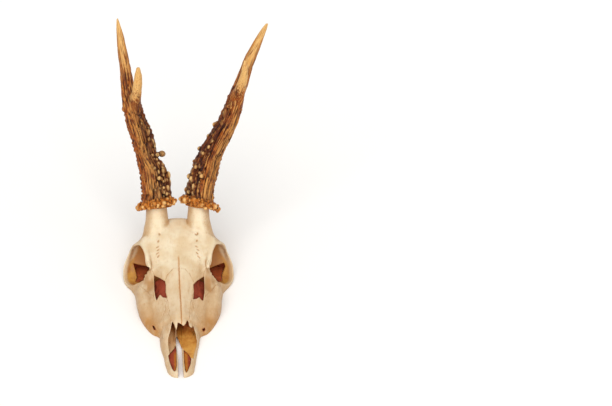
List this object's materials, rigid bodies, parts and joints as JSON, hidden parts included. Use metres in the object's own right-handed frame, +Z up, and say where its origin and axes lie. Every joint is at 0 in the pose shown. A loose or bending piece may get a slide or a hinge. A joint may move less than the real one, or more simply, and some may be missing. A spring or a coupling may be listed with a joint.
{
  "type": "roe deer skull cap with antlers",
  "caption": "Sawn skull cap of a roe buck with pearled antlers, lying flat on its saw cut, as a life-size still model.",
  "frame": {"origin": "on the surface that the saw cut lies on, under the middle of the whole skull's box", "axes": "+Z up, -Y towards the nose, +X towards the animal's left"},
  "size_m": [0.1246, 0.2644, 0.1709],
  "materials": {
    "bone": "matt bleached bone, cream with tan hollows",
    "dried_lining": "matt red-brown dried tissue",
    "burr": "golden-brown pearled horn, satin",
    "antler": "dark grooves, rubbed tan ridges and pearls, ivory tips, satin"
  },
  "bodies": {
    "root": {"nasal_left": "bone", "nasal_right": "bone", "premaxilla_left": "bone", "premaxilla_right": "bone", "maxilla_left": "bone", "maxilla_right": "bone", "orbit_left": "bone", "orbit_right": "bone", "forehead": "bone", "braincase": "bone", "nose_lining": "dried_lining", "socket_lining_left": "dried_lining", "socket_lining_right": "dried_lining", "antler_left_burr": "burr", "antler_left_beam": "antler", "antler_left_top": "antler", "antler_left_tine": "antler", "antler_right_burr": "burr", "antler_right_beam": "antler", "antler_right_top": "antler", "antler_right_tine": "antler"}
  },
  "joints": []
}
